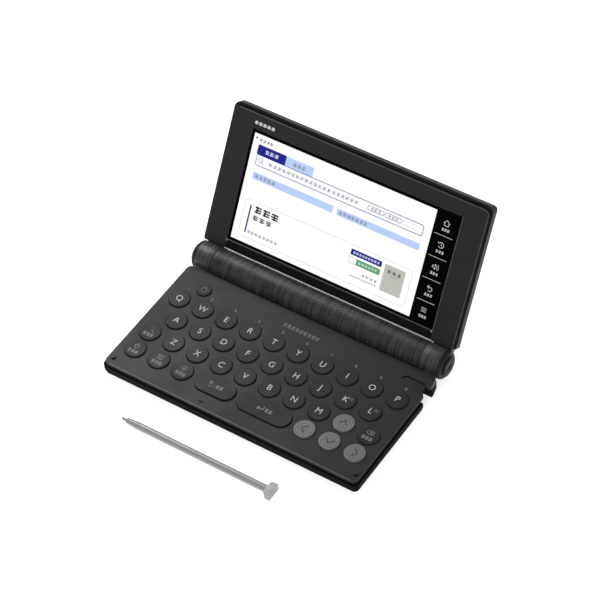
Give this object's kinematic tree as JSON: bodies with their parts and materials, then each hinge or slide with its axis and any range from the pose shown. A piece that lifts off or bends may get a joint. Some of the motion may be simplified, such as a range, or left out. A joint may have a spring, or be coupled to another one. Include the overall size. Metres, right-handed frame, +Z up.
{
  "type": "personal digital assistant",
  "caption": "Clamshell pocket digital dictionary with a round-key keyboard, a touch display on a friction hinge round a battery tube, and a separate stylus.",
  "frame": {"origin": "on the table, under the middle of the whole object's box, stylus included", "axes": "+X to the user's right, +Y to the back, +Z up"},
  "size_m": [0.158, 0.1648, 0.0829],
  "materials": {
    "case_plastic": "fine moulded texture",
    "deck_plastic": "fine moulded texture, satin",
    "tube_plastic": "fine turned rings, satin",
    "cover_plastic": "fine moulded texture",
    "bezel_plastic": "smooth satin",
    "key_plastic": "smooth satin with white legends",
    "arrow_key_plastic": "finely turned, satin",
    "stylus_plastic": "smooth satin",
    "rubber": "matte",
    "inner_plastic": "plain",
    "membrane": "silicone",
    "circuit_board": "solder mask",
    "cell_jacket": "printed foil jacket, no lettering",
    "plated_steel": "plated",
    "screw_steel": "blackened",
    "lcd": "lit display panel",
    "glass": "polished"
  },
  "bodies": {
    "base": {"bottom_case": "case_plastic", "keyboard_deck": "deck_plastic", "key_membrane": "membrane", "main_board": "circuit_board", "speaker": "inner_plastic", "usb_socket": "plated_steel", "earphone_jack": "inner_plastic", "stylus_sleeve": "inner_plastic", "battery_tube": "tube_plastic", "batteries": "cell_jacket", "battery_contacts": "plated_steel", "torque_sleeves": "plated_steel", "rubber_feet": "rubber", "deck_bumpers": "rubber", "case_screws": "screw_steel"},
    "display": {"display_back_cover": "cover_plastic", "display_bezel": "bezel_plastic", "lcd_panel": "lcd", "touch_glass": "glass", "hinge_pins": "plated_steel"},
    "battery_cover": {"battery_cover": "tube_plastic"},
    "stylus": {"stylus": "stylus_plastic"},
    "key_q": {"key_q": "key_plastic"},
    "key_w": {"key_w": "key_plastic"},
    "key_e": {"key_e": "key_plastic"},
    "key_r": {"key_r": "key_plastic"},
    "key_t": {"key_t": "key_plastic"},
    "key_y": {"key_y": "key_plastic"},
    "key_u": {"key_u": "key_plastic"},
    "key_i": {"key_i": "key_plastic"},
    "key_o": {"key_o": "key_plastic"},
    "key_p": {"key_p": "key_plastic"},
    "key_a": {"key_a": "key_plastic"},
    "key_s": {"key_s": "key_plastic"},
    "key_d": {"key_d": "key_plastic"},
    "key_f": {"key_f": "key_plastic"},
    "key_g": {"key_g": "key_plastic"},
    "key_h": {"key_h": "key_plastic"},
    "key_j": {"key_j": "key_plastic"},
    "key_k": {"key_k": "key_plastic"},
    "key_l": {"key_l": "key_plastic"},
    "key_search": {"key_search": "key_plastic"},
    "key_z": {"key_z": "key_plastic"},
    "key_x": {"key_x": "key_plastic"},
    "key_c": {"key_c": "key_plastic"},
    "key_v": {"key_v": "key_plastic"},
    "key_b": {"key_b": "key_plastic"},
    "key_n": {"key_n": "key_plastic"},
    "key_m": {"key_m": "key_plastic"},
    "key_up": {"key_up": "arrow_key_plastic"},
    "key_delete": {"key_delete": "key_plastic"},
    "key_shift": {"key_shift": "key_plastic"},
    "key_list": {"key_list": "key_plastic"},
    "key_zoom": {"key_zoom": "key_plastic"},
    "key_left": {"key_left": "arrow_key_plastic"},
    "key_down": {"key_down": "arrow_key_plastic"},
    "key_right": {"key_right": "arrow_key_plastic"},
    "key_back": {"key_back": "key_plastic"},
    "key_enter": {"key_enter": "key_plastic"},
    "key_power": {"key_power": "key_plastic"}
  },
  "joints": [
    {"name": "lid_hinge", "type": "hinge", "parent": "base", "child": "display", "pos_m": [0, 0.03015, 0.0093], "axis": [-1, 0, 0], "range_deg": [-121.5, 13.5]},
    {"name": "battery_cover_slide", "type": "slide", "parent": "base", "child": "battery_cover", "axis": [0, 0.7071, -0.7071], "range_m": [0, 0.012]},
    {"name": "stylus_lift", "type": "slide", "parent": "base", "child": "stylus", "axis": [0, 0, 1], "range_m": [0, 0.05]},
    {"name": "key_q_press", "type": "slide", "parent": "base", "child": "key_q", "axis": [0, 0, 1], "range_m": [-0.0008, 0], "stiffness_N_per_m": 300, "springref_m": 0.0003},
    {"name": "key_w_press", "type": "slide", "parent": "base", "child": "key_w", "axis": [0, 0, 1], "range_m": [-0.0008, 0], "stiffness_N_per_m": 300, "springref_m": 0.0003},
    {"name": "key_e_press", "type": "slide", "parent": "base", "child": "key_e", "axis": [0, 0, 1], "range_m": [-0.0008, 0], "stiffness_N_per_m": 300, "springref_m": 0.0003},
    {"name": "key_r_press", "type": "slide", "parent": "base", "child": "key_r", "axis": [0, 0, 1], "range_m": [-0.0008, 0], "stiffness_N_per_m": 300, "springref_m": 0.0003},
    {"name": "key_t_press", "type": "slide", "parent": "base", "child": "key_t", "axis": [0, 0, 1], "range_m": [-0.0008, 0], "stiffness_N_per_m": 300, "springref_m": 0.0003},
    {"name": "key_y_press", "type": "slide", "parent": "base", "child": "key_y", "axis": [0, 0, 1], "range_m": [-0.0008, 0], "stiffness_N_per_m": 300, "springref_m": 0.0003},
    {"name": "key_u_press", "type": "slide", "parent": "base", "child": "key_u", "axis": [0, 0, 1], "range_m": [-0.0008, 0], "stiffness_N_per_m": 300, "springref_m": 0.0003},
    {"name": "key_i_press", "type": "slide", "parent": "base", "child": "key_i", "axis": [0, 0, 1], "range_m": [-0.0008, 0], "stiffness_N_per_m": 300, "springref_m": 0.0003},
    {"name": "key_o_press", "type": "slide", "parent": "base", "child": "key_o", "axis": [0, 0, 1], "range_m": [-0.0008, 0], "stiffness_N_per_m": 300, "springref_m": 0.0003},
    {"name": "key_p_press", "type": "slide", "parent": "base", "child": "key_p", "axis": [0, 0, 1], "range_m": [-0.0008, 0], "stiffness_N_per_m": 300, "springref_m": 0.0003},
    {"name": "key_a_press", "type": "slide", "parent": "base", "child": "key_a", "axis": [0, 0, 1], "range_m": [-0.0008, 0], "stiffness_N_per_m": 300, "springref_m": 0.0003},
    {"name": "key_s_press", "type": "slide", "parent": "base", "child": "key_s", "axis": [0, 0, 1], "range_m": [-0.0008, 0], "stiffness_N_per_m": 300, "springref_m": 0.0003},
    {"name": "key_d_press", "type": "slide", "parent": "base", "child": "key_d", "axis": [0, 0, 1], "range_m": [-0.0008, 0], "stiffness_N_per_m": 300, "springref_m": 0.0003},
    {"name": "key_f_press", "type": "slide", "parent": "base", "child": "key_f", "axis": [0, 0, 1], "range_m": [-0.0008, 0], "stiffness_N_per_m": 300, "springref_m": 0.0003},
    {"name": "key_g_press", "type": "slide", "parent": "base", "child": "key_g", "axis": [0, 0, 1], "range_m": [-0.0008, 0], "stiffness_N_per_m": 300, "springref_m": 0.0003},
    {"name": "key_h_press", "type": "slide", "parent": "base", "child": "key_h", "axis": [0, 0, 1], "range_m": [-0.0008, 0], "stiffness_N_per_m": 300, "springref_m": 0.0003},
    {"name": "key_j_press", "type": "slide", "parent": "base", "child": "key_j", "axis": [0, 0, 1], "range_m": [-0.0008, 0], "stiffness_N_per_m": 300, "springref_m": 0.0003},
    {"name": "key_k_press", "type": "slide", "parent": "base", "child": "key_k", "axis": [0, 0, 1], "range_m": [-0.0008, 0], "stiffness_N_per_m": 300, "springref_m": 0.0003},
    {"name": "key_l_press", "type": "slide", "parent": "base", "child": "key_l", "axis": [0, 0, 1], "range_m": [-0.0008, 0], "stiffness_N_per_m": 300, "springref_m": 0.0003},
    {"name": "key_search_press", "type": "slide", "parent": "base", "child": "key_search", "axis": [0, 0, 1], "range_m": [-0.0008, 0], "stiffness_N_per_m": 300, "springref_m": 0.0003},
    {"name": "key_z_press", "type": "slide", "parent": "base", "child": "key_z", "axis": [0, 0, 1], "range_m": [-0.0008, 0], "stiffness_N_per_m": 300, "springref_m": 0.0003},
    {"name": "key_x_press", "type": "slide", "parent": "base", "child": "key_x", "axis": [0, 0, 1], "range_m": [-0.0008, 0], "stiffness_N_per_m": 300, "springref_m": 0.0003},
    {"name": "key_c_press", "type": "slide", "parent": "base", "child": "key_c", "axis": [0, 0, 1], "range_m": [-0.0008, 0], "stiffness_N_per_m": 300, "springref_m": 0.0003},
    {"name": "key_v_press", "type": "slide", "parent": "base", "child": "key_v", "axis": [0, 0, 1], "range_m": [-0.0008, 0], "stiffness_N_per_m": 300, "springref_m": 0.0003},
    {"name": "key_b_press", "type": "slide", "parent": "base", "child": "key_b", "axis": [0, 0, 1], "range_m": [-0.0008, 0], "stiffness_N_per_m": 300, "springref_m": 0.0003},
    {"name": "key_n_press", "type": "slide", "parent": "base", "child": "key_n", "axis": [0, 0, 1], "range_m": [-0.0008, 0], "stiffness_N_per_m": 300, "springref_m": 0.0003},
    {"name": "key_m_press", "type": "slide", "parent": "base", "child": "key_m", "axis": [0, 0, 1], "range_m": [-0.0008, 0], "stiffness_N_per_m": 300, "springref_m": 0.0003},
    {"name": "key_up_press", "type": "slide", "parent": "base", "child": "key_up", "axis": [0, 0, 1], "range_m": [-0.0008, 0], "stiffness_N_per_m": 300, "springref_m": 0.0003},
    {"name": "key_delete_press", "type": "slide", "parent": "base", "child": "key_delete", "axis": [0, 0, 1], "range_m": [-0.0008, 0], "stiffness_N_per_m": 300, "springref_m": 0.0003},
    {"name": "key_shift_press", "type": "slide", "parent": "base", "child": "key_shift", "axis": [0, 0, 1], "range_m": [-0.0008, 0], "stiffness_N_per_m": 300, "springref_m": 0.0003},
    {"name": "key_list_press", "type": "slide", "parent": "base", "child": "key_list", "axis": [0, 0, 1], "range_m": [-0.0008, 0], "stiffness_N_per_m": 300, "springref_m": 0.0003},
    {"name": "key_zoom_press", "type": "slide", "parent": "base", "child": "key_zoom", "axis": [0, 0, 1], "range_m": [-0.0008, 0], "stiffness_N_per_m": 300, "springref_m": 0.0003},
    {"name": "key_left_press", "type": "slide", "parent": "base", "child": "key_left", "axis": [0, 0, 1], "range_m": [-0.0008, 0], "stiffness_N_per_m": 300, "springref_m": 0.0003},
    {"name": "key_down_press", "type": "slide", "parent": "base", "child": "key_down", "axis": [0, 0, 1], "range_m": [-0.0008, 0], "stiffness_N_per_m": 300, "springref_m": 0.0003},
    {"name": "key_right_press", "type": "slide", "parent": "base", "child": "key_right", "axis": [0, 0, 1], "range_m": [-0.0008, 0], "stiffness_N_per_m": 300, "springref_m": 0.0003},
    {"name": "key_back_press", "type": "slide", "parent": "base", "child": "key_back", "axis": [0, 0, 1], "range_m": [-0.0008, 0], "stiffness_N_per_m": 300, "springref_m": 0.0003},
    {"name": "key_enter_press", "type": "slide", "parent": "base", "child": "key_enter", "axis": [0, 0, 1], "range_m": [-0.0008, 0], "stiffness_N_per_m": 300, "springref_m": 0.0003},
    {"name": "key_power_press", "type": "slide", "parent": "base", "child": "key_power", "axis": [0, 0, 1], "range_m": [-0.0008, 0], "stiffness_N_per_m": 300, "springref_m": 0.0003}
  ]
}
